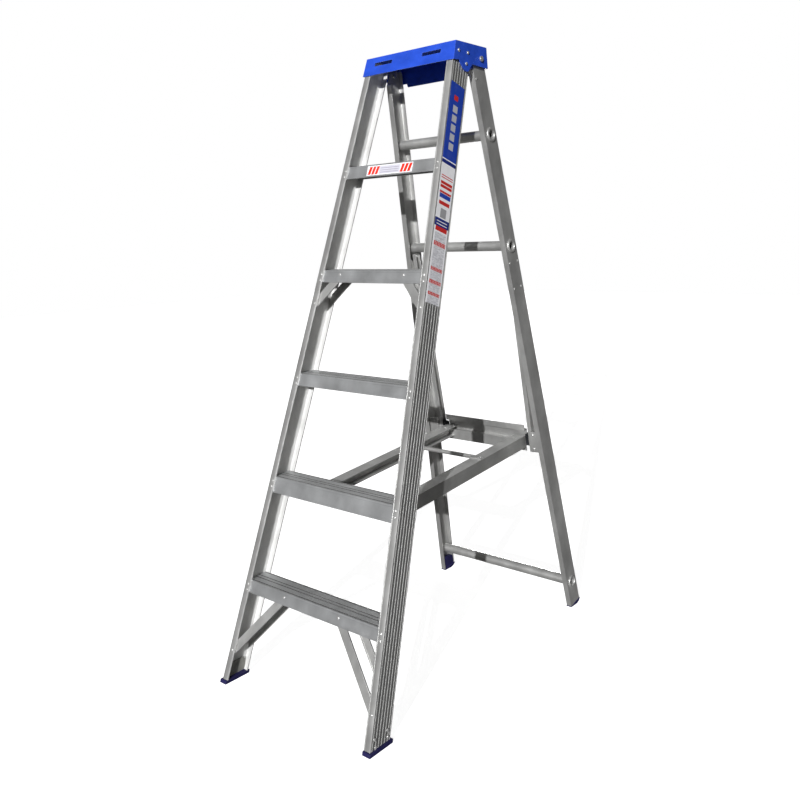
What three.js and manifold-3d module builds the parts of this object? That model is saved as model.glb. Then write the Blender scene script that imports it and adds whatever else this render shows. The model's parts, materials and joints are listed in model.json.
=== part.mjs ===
// A single-sided aluminium step ladder, standing open: two leaning channel stiles with five
// channel treads, a moulded cap, and a hinged rear frame held out by a folding spreader.
// Units are millimetres. +Z is up, the treads face -Y, and the ladder's width runs along X.
import * as THREE from "three";
import { mergeVertices } from "three/addons/utils/BufferGeometryUtils.js";
import Module from "manifold-3d";

const wasm = await Module();
wasm.setup();

// ---- driving dimensions -------------------------------------------------------------------
const GAP = 0.3; // running gap left between neighbouring pieces

const FRONT = { tilt: THREE.MathUtils.degToRad(-18.42), halfWidth: 288.5, taper: 0.076 };
const REAR = { tilt: THREE.MathUtils.degToRad(12.22), halfWidth: 275.9, taper: 0.07 };
const REAR_FOOT_Y = 1025.6; // where the rear legs' front faces meet the floor
const MIDDLE_Y = 539.98; // half-way from the front feet's toes to the rear feet's heels

const STILE = { depth: 71.2, flange: 21.8, web: 3, sheet: 2.8, rib: 1, ribWidth: 5 };
const STILE_RIBS = { count: 6, pitch: 10.8 };
const STILE_ENDS = { bottom: 10.3, top: 1746.4 }; // heights of the level end cuts
const LEG = { depth: 57, flange: 17.3, web: 2.5, sheet: 2.3 };

const STEP_PITCH = 304.8; // tread spacing along the stile
const TREAD = { count: 5, front: 3.1, back: 68.1, sheet: 2, top: 2.6, skirt: 34.5 };
const DEEP_TREAD = { index: 2, skirt: 45 }; // the tread that carries the spreader
const TREAD_GROOVES = { places: [15, 29, 43, 57], width: 2.4, depth: 1 };

const HINGE = { y: 690, z: 1718, hole: 4.4, shank: 4 }; // the spreader's bolts are the same
const ARM = { slope: 0.1, outer: 158, height: 40.5, topFlange: 42, lowFlange: 24, sheet: 2.5 };
const SPREADER_PIVOT = { y: 285, z: 517 };
const GUIDE = { outer: 187, inner: 173, front: 23, back: 46, sheet: 2, bottom: 556, top: 1210 };
const SLIDER = { height: 596, half: 20 };

const TUBES = [
  { name: "rear_tube_upper", s: 1549, d: 30, r: 14.5 },
  { name: "rear_tube_middle", s: 1230, d: 30, r: 14.5 },
  { name: "rear_tube_bottom", s: 84, d: 30, r: 16 },
];
const TUBE_WALL = 2;
const TUBE_COLLAR = { r: 20.5, thick: 2 };

// Each brace joins a stile rivet (x, s) to a skirt rivet (x, s).
const BRACES = [
  { tread: 1, stile: [271, 98], skirt: [104.5, 292] },
  { tread: 4, stile: [196, 1122], skirt: [117.5, 1207.5] },
];
const BRACE = { width: 25.5, sheet: 2, lip: 5, front: 5.4, back: 63.8 };

const CAP = { top: 1752, back: 722, wall: 4.5, skin: 2.7, roof: 5, clear: 0.5 };
const CAP_SLOTS = { spans: [[-125, -59], [49, 114]], z: 1731, height: 9.5 };
const CAP_RIVETS = [[589, 1727.5], [630, 1725.6], [619, 1696]];

const SIDES = [
  { name: "left", sign: -1 },
  { name: "right", sign: 1 },
];

// ---- materials ----------------------------------------------------------------------------
const material = (color, roughness, metalness) =>
  new THREE.MeshStandardMaterial({ color, roughness, metalness });
const LOOKS = {
  aluminium: () => material(0xbcbdbb, 0.42, 1),
  bracket: () => material(0xa6a8a8, 0.5, 1),
  steel: () => material(0xc9cacb, 0.3, 1),
  blue: () => material(0x2350d8, 0.45, 0),
  foot: () => material(0x262252, 0.7, 0),
  slider: () => material(0x26272b, 0.6, 0),
  label: () => material(0xe9ebee, 0.5, 0),
};

// ---- shapes -------------------------------------------------------------------------------
function toShape(outline) {
  if (outline instanceof THREE.Shape) return outline;
  return new THREE.Shape(outline.map(([a, b]) => new THREE.Vector2(a, b)));
}

// An outline carried along one axis. Its two coordinates are (y, z) for axis x, (x, z) for
// axis y and (x, y) for axis z.
function prism(axis, outline, from, to) {
  const points = toShape(outline).extractPoints(8).shape;
  const turned = axis === "y" ? points.map((p) => new THREE.Vector2(p.y, p.x)) : points;
  const options = { depth: to - from, bevelEnabled: false };
  const geometry = new THREE.ExtrudeGeometry(new THREE.Shape(turned), options);
  geometry.translate(0, 0, from);
  const turn = new THREE.Matrix4();
  if (axis === "x") turn.set(0, 0, 1, 0, 1, 0, 0, 0, 0, 1, 0, 0, 0, 0, 0, 1);
  if (axis === "y") turn.set(0, 1, 0, 0, 0, 0, 1, 0, 1, 0, 0, 0, 0, 0, 0, 1);
  return geometry.applyMatrix4(turn);
}

function block([x0, x1], [y0, y1], [z0, z1]) {
  const geometry = new THREE.BoxGeometry(Math.abs(x1 - x0), y1 - y0, z1 - z0);
  return geometry.translate((x0 + x1) / 2, (y0 + y1) / 2, (z0 + z1) / 2);
}

// A round bar along X.
function bar(radius, x0, x1, y, z, sides = 24) {
  const geometry = new THREE.CylinderGeometry(radius, radius, Math.abs(x1 - x0), sides);
  return geometry.rotateZ(Math.PI / 2).translate((x0 + x1) / 2, y, z);
}

// A domed rivet head whose flat side faces -Z.
function rivetHead(radius, height) {
  const profile = [[0, 0], [radius, 0], [radius * 0.92, height * 0.45]];
  profile.push([radius * 0.6, height * 0.85], [0, height]);
  return new THREE.LatheGeometry(profile.map(([r, z]) => new THREE.Vector2(r, z)), 12)
    .rotateX(Math.PI / 2);
}

// ---- joining and cutting ------------------------------------------------------------------
function toSolid(geometry) {
  const bare = new THREE.BufferGeometry();
  bare.setAttribute("position", geometry.getAttribute("position"));
  if (geometry.index) bare.setIndex(geometry.index);
  const merged = mergeVertices(bare, 1e-3);
  const vertProperties = merged.getAttribute("position").array;
  const triVerts = new Uint32Array(merged.index.array);
  return new wasm.Manifold(new wasm.Mesh({ numProp: 3, vertProperties, triVerts }));
}

function toGeometry(solid) {
  const mesh = solid.getMesh();
  const geometry = new THREE.BufferGeometry();
  geometry.setAttribute("position", new THREE.BufferAttribute(mesh.vertProperties, 3));
  geometry.setIndex(new THREE.BufferAttribute(mesh.triVerts, 1));
  geometry.computeVertexNormals();
  return geometry;
}

const chain = (verb) => (first, ...others) =>
  toGeometry(others.reduce((solid, other) => solid[verb](toSolid(other)), toSolid(first)));
const join = chain("add");
const cut = chain("subtract");
const keep = chain("intersect");

// A transform that keeps a geometry facing outwards even when it mirrors it.
function bake(geometry, matrix) {
  const baked = geometry.index ? geometry.toNonIndexed() : geometry.clone();
  baked.applyMatrix4(matrix);
  if (matrix.determinant() > 0) return baked;
  const position = baked.getAttribute("position");
  for (let i = 0; i < position.count; i += 3) {
    const [x, y, z] = [position.getX(i), position.getY(i), position.getZ(i)];
    position.setXYZ(i, position.getX(i + 1), position.getY(i + 1), position.getZ(i + 1));
    position.setXYZ(i + 1, x, y, z);
  }
  return baked;
}

// ---- the two leaning frames ---------------------------------------------------------------
// In a frame's own axes y is the depth behind its front face and z runs up along its rails.
// lean() places rail coordinates, whose x is the inset from the rail's outer face.
function lean(frame, sign) {
  const up = frame.taper * Math.cos(frame.tilt);
  const back = frame.taper * Math.sin(frame.tilt);
  const m = new THREE.Matrix4();
  m.makeBasis(
    new THREE.Vector3(-sign, 0, 0),
    new THREE.Vector3(-sign * back, 1, 0),
    new THREE.Vector3(-sign * up, 0, 1),
  );
  m.setPosition(sign * frame.halfWidth, 0, 0);
  return m;
}

// The rail coordinate along a frame at height z and depth d.
const along = (frame, d, z) => (z - d * Math.sin(frame.tilt)) / Math.cos(frame.tilt);

// A point (y, z) of the standing ladder in a frame's own (depth, along) axes.
function inFrame(frame, footY, [y, z]) {
  const [c, s] = [Math.cos(frame.tilt), Math.sin(frame.tilt)];
  return [(y - footY) * c + z * s, z * c - (y - footY) * s];
}
const inFront = (point) => inFrame(FRONT, 0, point);
const inRear = (point) => inFrame(REAR, REAR_FOOT_Y, point);

const ladder = new THREE.Group();
const standing = new THREE.Group(); // origin on the floor under the front toes' line
const front = new THREE.Group();
const rear = new THREE.Group();
const spreader = new THREE.Group();
front.rotation.x = FRONT.tilt;
rear.rotation.x = REAR.tilt;
rear.position.y = REAR_FOOT_Y;
spreader.rotation.x = Math.atan(ARM.slope);
spreader.position.set(0, SPREADER_PIVOT.y, SPREADER_PIVOT.z);
standing.position.y = -MIDDLE_Y;
standing.add(front, rear, spreader);
ladder.add(standing);

function piece(parent, name, geometry, look) {
  const mesh = new THREE.Mesh(geometry, LOOKS[look]());
  mesh.name = name;
  parent.add(mesh);
  return mesh;
}

// A piece made in rail coordinates, put on one side of a frame.
function railPiece(parent, frame, side, name, geometry, look) {
  return piece(parent, `${name}_${side.name}`, bake(geometry, lean(frame, side.sign)), look);
}

// ---- front frame: stiles, treads, braces, feet --------------------------------------------
function stileGeometry() {
  const { depth, flange, web, sheet, rib, ribWidth } = STILE;
  const edge = 3.2; // plain strip beside each corner
  const outline = [[flange, 0], [0, 0], [0, edge], [rib, edge]];
  for (let i = 0; i < STILE_RIBS.count; i += 1) {
    const middle = depth / 2 + (i - (STILE_RIBS.count - 1) / 2) * STILE_RIBS.pitch;
    const [low, high] = [middle - ribWidth / 2, middle + ribWidth / 2];
    outline.push([rib, low], [0, low], [0, high], [rib, high]);
  }
  outline.push([rib, depth - edge], [0, depth - edge], [0, depth], [flange, depth]);
  outline.push([flange, depth - sheet], [web, depth - sheet], [web, sheet], [flange, sheet]);
  const rail = prism("z", outline, -40, 1950);
  const ends = [
    [-5, along(FRONT, -5, STILE_ENDS.bottom)],
    [80, along(FRONT, 80, STILE_ENDS.bottom)],
    [80, along(FRONT, 80, STILE_ENDS.top)],
    [-5, along(FRONT, -5, STILE_ENDS.top)],
  ];
  return keep(rail, prism("x", ends, -10, 40));
}

function treadGeometry(index) {
  const { front: near, back: far, sheet, top } = TREAD;
  const skirt = index === DEEP_TREAD.index ? DEEP_TREAD.skirt : TREAD.skirt;
  const height = index * STEP_PITCH * Math.cos(FRONT.tilt);
  const level = (d) => along(FRONT, d, height);
  const outline = [[near, level(0) - skirt], [near, level(near)], [far, level(far)]];
  outline.push([far, level(far) - skirt], [far - sheet, level(far) - skirt]);
  outline.push([far - sheet, level(far - sheet) - top], [near + sheet, level(near + sheet) - top]);
  outline.push([near + sheet, level(0) - skirt]);
  const half = FRONT.halfWidth - FRONT.taper * height - STILE.web - GAP;
  const grooves = TREAD_GROOVES.places.map((middle) => {
    const [a, b] = [middle - TREAD_GROOVES.width / 2, middle + TREAD_GROOVES.width / 2];
    const floor = TREAD_GROOVES.depth;
    const groove = [[a, level(a) - floor], [b, level(b) - floor]];
    groove.push([b, level(b) + 1], [a, level(a) + 1]);
    return prism("x", groove, -half - 1, half + 1);
  });
  return cut(prism("x", outline, -half, half), ...grooves);
}

// A pressed strip with turned lips, lying across the frame between two rivets.
function braceGeometry(side, from, to, depth, lipTo) {
  const [x0, s0] = from;
  const run = Math.hypot(to[0] - x0, to[1] - s0);
  const [c, s] = [(to[0] - x0) / run, (to[1] - s0) / run];
  const at = ([a, b]) => [side.sign * (x0 + a * c - b * s), s0 + a * s + b * c];
  const half = BRACE.width / 2;
  const end = 9; // length of the chamfered end past each rivet
  const strip = [[0, half], [-end, 6], [-end, -6], [0, -half]];
  strip.push([run, -half], [run + end, -6], [run + end, 6], [run, half]);
  const plate = prism("y", strip.map(at), depth, depth + BRACE.sheet);
  const inset = 16; // the lips stop short of the riveted ends
  const lips = [1, -1].map((way) => {
    const [outer, inner] = [way * half, way * (half - BRACE.sheet)];
    const lip = [[inset, outer], [run - inset, outer], [run - inset, inner], [inset, inner]];
    return prism("y", lip.map(at), Math.min(depth, lipTo), Math.max(depth + BRACE.sheet, lipTo));
  });
  const room = block([STILE.web + 2 * GAP, 320], [-10, 90], [0, 1900]);
  return keep(join(plate, ...lips), bake(room, lean(FRONT, side.sign)));
}

function frontFootGeometry() {
  const sole = [[-4, 0], [82, 0], [85, 10], [-1, 10]].map(inFront);
  const upstand = [[3.4, 6], [67.8, 6], [67.8, 24], [62, 42], [55, 51], [3.4, 51]];
  const wall = upstand.map(([d, z]) => [d, along(FRONT, d, z)]);
  const inner = STILE.web + GAP;
  return join(prism("x", sole, -5, 22), prism("x", wall, inner, inner + 4));
}

for (let index = 1; index <= TREAD.count; index += 1) {
  piece(front, `tread_${index}`, treadGeometry(index), "aluminium");
}

for (const side of SIDES) {
  railPiece(front, FRONT, side, "front_stile", stileGeometry(), "aluminium");
  railPiece(front, FRONT, side, "front_foot", frontFootGeometry(), "foot");
  for (const { tread, stile, skirt } of BRACES) {
    const rise = (BRACE.back - BRACE.front) * Math.tan(-FRONT.tilt);
    const lift = ([x, s]) => [x, s + rise];
    const { front: near, back: far, sheet, lip } = BRACE;
    const nearBrace = braceGeometry(side, stile, skirt, near, near + lip);
    const farBrace = braceGeometry(side, lift(stile), lift(skirt), far, far + sheet - lip);
    piece(front, `tread_${tread}_front_brace_${side.name}`, nearBrace, "aluminium");
    piece(front, `tread_${tread}_rear_brace_${side.name}`, farBrace, "aluminium");
    const head = rivetHead(4.2, 2);
    const rivet = piece(front, `tread_${tread}_brace_rivet_${side.name}`, head, "steel");
    rivet.rotation.x = Math.PI / 2;
    rivet.position.set(side.sign * skirt[0], TREAD.front - GAP, skirt[1]);
  }
}

// ---- cap and hinge bolts ------------------------------------------------------------------
const railWidth = (z) => FRONT.halfWidth - FRONT.taper * z;

// A block whose sides lean with the stiles, standing out from them by `extra`.
function leaningBlock(extra, low, high) {
  const outline = [[-railWidth(low) - extra, low], [railWidth(low) + extra, low]];
  outline.push([railWidth(high) + extra, high], [-railWidth(high) - extra, high]);
  return prism("y", outline, 500, 800);
}

// The y of the plane at depth d in the front frame, at height z.
function frontY(d, z) {
  return along(FRONT, d, z) * -Math.sin(FRONT.tilt) + d * Math.cos(FRONT.tilt);
}

function capGeometry() {
  const { top, back, wall, skin, roof, clear } = CAP;
  const face = -GAP - skin;
  const side = [[frontY(face, top), top], [back, top], [back, 1696], [648, 1698.5]];
  side.push([637, 1688], [632, 1681], [626, 1677], [619, 1675.5], [612, 1678], [605, 1686]);
  side.push([589, 1703], [frontY(face, 1702), 1702]);
  const shell = keep(prism("x", side, -200, 200), leaningBlock(wall + clear, 1600, top + 20));
  const ceiling = top - roof;
  const hollow = [[frontY(-GAP, 1600), 1600], [back - skin, 1600]];
  hollow.push([back - skin, ceiling], [frontY(-GAP, ceiling), ceiling]);
  const cavity = keep(prism("x", hollow, -200, 200), leaningBlock(clear, 1500, top));
  const flap = [[-130, 1700], [-124, 1686], [124, 1686], [130, 1700]];
  const slots = CAP_SLOTS.spans.map((span) => {
    const z = [CAP_SLOTS.z - CAP_SLOTS.height / 2, CAP_SLOTS.z + CAP_SLOTS.height / 2];
    return block(span, [550, 620], z);
  });
  const holes = bar(HINGE.hole, -200, 200, HINGE.y, HINGE.z);
  return join(cut(shell, cavity, holes, ...slots), prism("y", flap, back - skin, back));
}

piece(standing, "top_cap", capGeometry(), "blue");

// A bolt along X: a wide head outside, a shank, and a nut inside. Distances are from the
// ladder's middle plane.
function boltGeometry(sign, [headFrom, headTo], [nutFrom, nutTo]) {
  const head = bar(7.5, sign * headFrom, sign * headTo, 0, 0, 24);
  const stem = bar(HINGE.shank, sign * (nutFrom + 0.5), sign * (headTo - 1), 0, 0, 16);
  const nut = bar(7, sign * nutFrom, sign * nutTo, 0, 0, 6);
  return join(head, stem, nut);
}

for (const side of SIDES) {
  const outside = railWidth(HINGE.z) + CAP.clear + CAP.wall;
  const legInside = REAR.halfWidth - REAR.taper * HINGE.z - LEG.web;
  const headSpan = [outside + 0.9, outside + 4.5];
  const bolt = boltGeometry(side.sign, headSpan, [legInside - 6, legInside - 0.9]);
  piece(standing, `hinge_bolt_${side.name}`, bolt, "steel").position.set(0, HINGE.y, HINGE.z);
  CAP_RIVETS.forEach(([y, z], index) => {
    const name = `cap_rivet_${index + 1}_${side.name}`;
    const rivet = piece(standing, name, rivetHead(4.6, 2.2), "steel");
    rivet.rotation.y = side.sign * Math.PI / 2;
    rivet.position.set(side.sign * (railWidth(z) + CAP.clear + CAP.wall + 0.65), y, z);
  });
}

// ---- rear frame: legs, tubes, guides, feet ------------------------------------------------
const [HINGE_DEPTH, HINGE_ALONG] = inRear([HINGE.y, HINGE.z]);

function legGeometry() {
  const { depth, flange, web, sheet } = LEG;
  const channel = [[flange, 0], [0, 0], [0, depth], [flange, depth]];
  channel.push([flange, depth - sheet], [web, depth - sheet], [web, sheet], [flange, sheet]);
  const round = depth - HINGE_DEPTH;
  const side = new THREE.Shape();
  side.moveTo(0, along(REAR, 0, 3.3));
  side.lineTo(depth, along(REAR, depth, 16));
  side.lineTo(depth, HINGE_ALONG);
  side.absarc(HINGE_DEPTH, HINGE_ALONG, round, 0, Math.PI, false);
  side.lineTo(0, HINGE_ALONG - 24);
  const rail = keep(prism("z", channel, -40, 1850), prism("x", side, -5, 40));
  const holes = TUBES.map(({ s, d, r }) => bar(r + GAP, -10, 10, d, s, 32));
  return cut(rail, ...holes, bar(HINGE.hole, -10, 10, HINGE_DEPTH, HINGE_ALONG));
}

// A round tube between the legs, with a collar spun over outside each web.
function tubeGeometry({ s, d, r }) {
  const height = s * Math.cos(REAR.tilt) + d * Math.sin(REAR.tilt);
  const reach = REAR.halfWidth - REAR.taper * height;
  const long = bar(r, -reach - 40, reach + 40, d, s, 32);
  const span = [];
  for (const { sign } of SIDES) {
    const { r: wide, thick } = TUBE_COLLAR;
    span.push(bake(bar(wide, -GAP - thick, -GAP, d, s, 32), lean(REAR, sign)));
  }
  const inside = block([-GAP - TUBE_COLLAR.thick, 2 * reach], [-50, 150], [s - 60, s + 60]);
  const ends = SIDES.map(({ sign }) => bake(inside, lean(REAR, sign)));
  return cut(join(keep(long, ...ends), ...span), bar(r - TUBE_WALL, -600, 600, d, s, 32));
}

for (const tube of TUBES) piece(rear, tube.name, tubeGeometry(tube), "aluminium");

function guideGeometry(sign) {
  const { outer, inner, front: near, back: far, sheet, bottom, top } = GUIDE;
  const channel = [[inner, near], [outer, near], [outer, far], [inner, far]];
  channel.push([inner, far - sheet], [outer - sheet, far - sheet]);
  channel.push([outer - sheet, near + sheet], [inner, near + sheet]);
  return prism("z", channel.map(([x, d]) => [sign * x, d]), bottom, top);
}

// A wedge that packs the guide's top off the leaning leg web.
function guideTopBracket(sign) {
  const [low, high] = [1096, 1190];
  const web = (s) => REAR.halfWidth - LEG.web - 1.2 - REAR.taper * s * Math.cos(REAR.tilt);
  const outline = [[GUIDE.outer + GAP, low], [web(low), low], [web(high), high]];
  outline.push([GUIDE.outer + GAP, high]);
  return prism("y", outline.map(([x, s]) => [sign * x, s]), 4, 53);
}

// A pressed angle: one plate across to the leg behind its front flange, one along the guide.
const BOTTOM_BRACKET = { front: 12, low: 563, high: 634, sheet: 2, rivets: [622, 574] };

function guideBottomBracket(sign) {
  const { front: near, low, high, sheet } = BOTTOM_BRACKET;
  const rise = (s) => s * Math.cos(REAR.tilt) + near * Math.sin(REAR.tilt);
  const legFace = (s) => REAR.halfWidth - LEG.web - 1 - REAR.taper * rise(s);
  const inner = GUIDE.outer + GAP;
  const plate = [[inner, low], [legFace(low), low], [legFace(high), high], [inner, high]];
  const across = prism("y", plate.map(([x, s]) => [sign * x, s]), near, near + sheet);
  const beside = [sign * inner, sign * (inner + sheet)];
  return join(across, block(beside, [near, GUIDE.back], [low, high]));
}

function rearFootGeometry() {
  const sole = [[-1.5, 0], [36, 0], [48, 4], [56, 9.5], [60, 14], [60, 16.3], [-1.5, 2.6]];
  const plug = [[2.6, 2], [54.4, 12], [54.4, 42], [50, 49], [42, 52], [13, 52], [2.6, 45]];
  const place = ([d, z]) => [d, along(REAR, d, z)];
  return join(
    prism("x", sole.map(place), -1, LEG.flange + 1.5),
    prism("x", plug.map(place), LEG.web + GAP, LEG.flange - 1.5),
  );
}

for (const side of SIDES) {
  const { name, sign } = side;
  railPiece(rear, REAR, side, "rear_leg", legGeometry(), "aluminium");
  railPiece(rear, REAR, side, "rear_foot", rearFootGeometry(), "foot");
  piece(rear, `guide_channel_${name}`, guideGeometry(sign), "aluminium");
  piece(rear, `guide_top_bracket_${name}`, guideTopBracket(sign), "bracket");
  piece(rear, `guide_bottom_bracket_${name}`, guideBottomBracket(sign), "bracket");
  const shoe = block(
    [sign * (ARM.outer + 1.5), sign * (GUIDE.outer - GUIDE.sheet - GAP)],
    [GUIDE.front + GUIDE.sheet + GAP, GUIDE.back - GUIDE.sheet - GAP],
    [SLIDER.height - SLIDER.half, SLIDER.height + SLIDER.half],
  );
  piece(rear, `slider_shoe_${name}`, shoe, "slider");
  BOTTOM_BRACKET.rivets.forEach((s, index) => {
    const rivet = piece(rear, `guide_rivet_${index + 1}_${name}`, rivetHead(4.2, 2), "steel");
    rivet.rotation.x = Math.PI / 2;
    rivet.position.set(sign * 197, BOTTOM_BRACKET.front - GAP, s);
  });
}

// ---- spreader: arms, rear cross channel, tie rod, pivots ----------------------------------
function armGeometry(sign) {
  const { outer, height, topFlange, lowFlange, sheet, slope } = ARM;
  const half = height / 2;
  const channel = [[outer, -half], [outer, half], [outer - topFlange, half]];
  channel.push([outer - topFlange, half - sheet], [outer - sheet, half - sheet]);
  channel.push([outer - sheet, sheet - half], [outer - lowFlange, sheet - half]);
  channel.push([outer - lowFlange, -half]);
  const rail = prism("y", channel.map(([x, z]) => [sign * x, z]), -30, 700);
  const pitch = Math.atan(slope);
  const reach = (CROSS.face - GAP - 0.1 - inRear([SPREADER_PIVOT.y, SPREADER_PIVOT.z])[0])
    / Math.cos(REAR.tilt - pitch);
  const drift = 30 * Math.tan(REAR.tilt - pitch);
  const side = [[-14, -30], [reach + drift, -30], [reach - drift, 30], [-24, 30], [-24, -8]];
  return cut(
    keep(rail, prism("x", side, -200, 200)),
    bar(HINGE.hole, -200, 200, 0, 0),
  );
}

// The cross channel joins the arms' rear ends. Its section is in the rear frame's
// (depth, along) axes, because it stands square to the rear legs when the ladder is open.
const CROSS = { face: 28, web: 41, low: 555, step: 590, lip: 626, high: 646, sheet: 2.5 };

function crossGeometry() {
  const { face, web, low, step, lip, high, sheet } = CROSS;
  const section = [[face, low], [face + sheet, low], [face + sheet, step], [web + sheet, step]];
  section.push([web + sheet, lip + sheet], [face + sheet, lip + sheet], [face + sheet, high]);
  section.push([face, high], [face, lip], [web, lip], [web, step + sheet], [face, step + sheet]);
  return prism("x", section, -ARM.outer + 0.5, ARM.outer - 0.5);
}

function tieRodGeometry() {
  const [radius, reach, tab] = [6.5, 112, 2.6];
  const top = ARM.height / 2 + GAP;
  const rod = bar(radius, -reach, reach, 0, top + tab / 2 - 1, 20);
  const tabs = [1, -1].map((sign) =>
    block([sign * (reach - 6), sign * (ARM.outer - 4)], [-11, 11], [top, top + tab]),
  );
  return join(rod, ...tabs);
}

for (const { name, sign } of SIDES) {
  piece(spreader, `spreader_arm_${name}`, armGeometry(sign), "aluminium");
}
piece(rear, "spreader_cross_channel", crossGeometry(), "aluminium");
const tieRod = piece(spreader, "spreader_tie_rod", tieRodGeometry(), "aluminium");
tieRod.position.y = (690 - SPREADER_PIVOT.y) / Math.cos(Math.atan(ARM.slope));

// The lug on the deep tread's rear skirt that each arm turns on.
const LUG = { cheek: 3, foot: 26, plate: 2.5 };

function lugGeometry(sign) {
  const [pivotDepth, pivotAlong] = inFront([SPREADER_PIVOT.y, SPREADER_PIVOT.z]);
  const plateBack = TREAD.back + GAP;
  const [low, high] = [592, 622];
  const side = new THREE.Shape();
  side.moveTo(plateBack, low);
  side.lineTo(pivotDepth, pivotAlong - 12);
  side.absarc(pivotDepth, pivotAlong, 12, -Math.PI / 2, Math.PI / 4, false);
  side.lineTo(plateBack + 10, high);
  side.lineTo(plateBack, high);
  const inner = ARM.outer + 2 * GAP;
  const from = sign > 0 ? inner : -inner - LUG.cheek;
  const cheek = prism("x", side, from, from + LUG.cheek);
  const lug = cut(cheek, bar(HINGE.hole, -200, 200, pivotDepth, pivotAlong));
  const across = [sign * inner, sign * (inner + LUG.foot)];
  return join(lug, block(across, [plateBack, plateBack + LUG.plate], [low, high]));
}

for (const { name, sign } of SIDES) {
  piece(front, `spreader_lug_${name}`, lugGeometry(sign), "bracket");
  const outside = ARM.outer + 2 * GAP + LUG.cheek;
  const inside = ARM.outer - ARM.sheet;
  const bolt = boltGeometry(sign, [outside + GAP, outside + 4], [inside - 5.3, inside - GAP]);
  const mesh = piece(standing, `spreader_pivot_bolt_${name}`, bolt, "steel");
  mesh.position.set(0, SPREADER_PIVOT.y, SPREADER_PIVOT.z);
}

// ---- labels -------------------------------------------------------------------------------
const SIDE_LABEL = { near: 5, far: 63, low: 1138, high: 1738, sheet: 0.4 };
const sideLabel = block(
  [-GAP - SIDE_LABEL.sheet, -GAP],
  [SIDE_LABEL.near, SIDE_LABEL.far],
  [SIDE_LABEL.low, SIDE_LABEL.high],
);
piece(front, "side_label", bake(sideLabel, lean(FRONT, 1)), "label");

const TREAD_LABEL = { left: -83, right: 83, low: 1493, high: 1521 };
const treadLabel = block(
  [TREAD_LABEL.left, TREAD_LABEL.right],
  [TREAD.front - GAP - 0.4, TREAD.front - GAP],
  [TREAD_LABEL.low, TREAD_LABEL.high],
);
piece(front, "tread_label", treadLabel, "label");

export default ladder;
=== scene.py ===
"""A five-tread aluminium step ladder, standing open on a pale studio floor."""
import json
import math

import bmesh
import bpy
from mathutils import Matrix, Vector

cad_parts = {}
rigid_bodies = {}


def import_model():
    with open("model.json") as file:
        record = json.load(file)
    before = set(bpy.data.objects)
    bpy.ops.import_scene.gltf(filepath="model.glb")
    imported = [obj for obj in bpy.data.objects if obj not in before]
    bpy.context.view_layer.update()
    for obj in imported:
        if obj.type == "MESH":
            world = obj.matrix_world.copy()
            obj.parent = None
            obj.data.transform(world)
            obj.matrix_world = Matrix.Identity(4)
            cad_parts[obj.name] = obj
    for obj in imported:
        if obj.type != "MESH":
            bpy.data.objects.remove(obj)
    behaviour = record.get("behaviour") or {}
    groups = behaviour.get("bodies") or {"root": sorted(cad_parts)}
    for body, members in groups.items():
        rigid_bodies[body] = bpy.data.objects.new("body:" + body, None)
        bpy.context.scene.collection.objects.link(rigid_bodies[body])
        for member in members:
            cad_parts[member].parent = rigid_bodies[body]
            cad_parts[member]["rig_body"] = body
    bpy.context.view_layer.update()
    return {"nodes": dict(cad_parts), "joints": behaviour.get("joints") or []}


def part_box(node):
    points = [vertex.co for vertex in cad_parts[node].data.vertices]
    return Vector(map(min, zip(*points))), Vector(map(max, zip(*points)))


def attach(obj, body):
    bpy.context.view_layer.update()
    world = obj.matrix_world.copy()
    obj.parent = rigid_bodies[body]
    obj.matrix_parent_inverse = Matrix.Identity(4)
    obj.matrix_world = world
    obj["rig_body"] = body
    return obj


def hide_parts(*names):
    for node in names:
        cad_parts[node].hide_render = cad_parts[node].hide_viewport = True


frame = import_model()
scene = bpy.context.scene

# ---- Front stiles -------------------------------------------------------------------------
# The two leaning rails are one extruded aluminium channel, web outwards. Six flat ribs run
# the length of the web, and each flange tip carries a small round bead. They are saw-cut
# level at both ends and riveted to the treads.
rear_hinge = Vector(next(j for j in frame["joints"] if j["name"] == "rear_fold")["pos_m"])
FRONT_TILT = math.radians(-18.42)
FRONT_HALF_WIDTH = 0.2885
FRONT_TAPER = 0.076
FRONT_FOOT_Y = rear_hinge.y - 0.690
STILE_BOTTOM, STILE_TOP = 0.0103, 1.7464


def rail_place(tilt, half_width, taper, foot_y, side):
    """Places (inset from the rail's outer face, depth behind its front, distance along it)."""
    def place(inset, depth, along):
        y = depth * math.cos(tilt) - along * math.sin(tilt)
        z = along * math.cos(tilt) + depth * math.sin(tilt)
        return Vector((side * (half_width - inset - taper * z), foot_y + y, z))
    return place


def front_place(side):
    return rail_place(FRONT_TILT, FRONT_HALF_WIDTH, FRONT_TAPER, FRONT_FOOT_Y, side)


def along_at(tilt, depth, height):
    """The distance along a rail at which a given depth reaches a given height."""
    return (height - depth * math.sin(tilt)) / math.cos(tilt)


def rounded(corners, steps=3):
    """An outline from (x, y, corner radius) triples."""
    outline = []
    for i, (x, y, radius) in enumerate(corners):
        here = Vector((x, y))
        back = Vector(corners[i - 1][:2]) - here
        on = Vector(corners[(i + 1) % len(corners)][:2]) - here
        if radius == 0:
            outline.append(here)
            continue
        run = radius / math.tan(back.angle(on) / 2)
        p = here + back.normalized() * min(run, back.length * 0.49)
        q = here + on.normalized() * min(run, on.length * 0.49)
        for k in range(steps + 1):
            t = k / steps
            outline.append(p * (1 - t) ** 2 + here * 2 * t * (1 - t) + q * t * t)
    return outline


def shade(obj, angle=32):
    """Smooth shading with every edge sharper than the angle left crisp."""
    obj.data.shade_smooth()
    obj.data.set_sharp_from_angle(angle=math.radians(angle))
    return obj


def add_object(name, mesh):
    obj = bpy.data.objects.new(name, mesh)
    scene.collection.objects.link(obj)
    return obj


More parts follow.
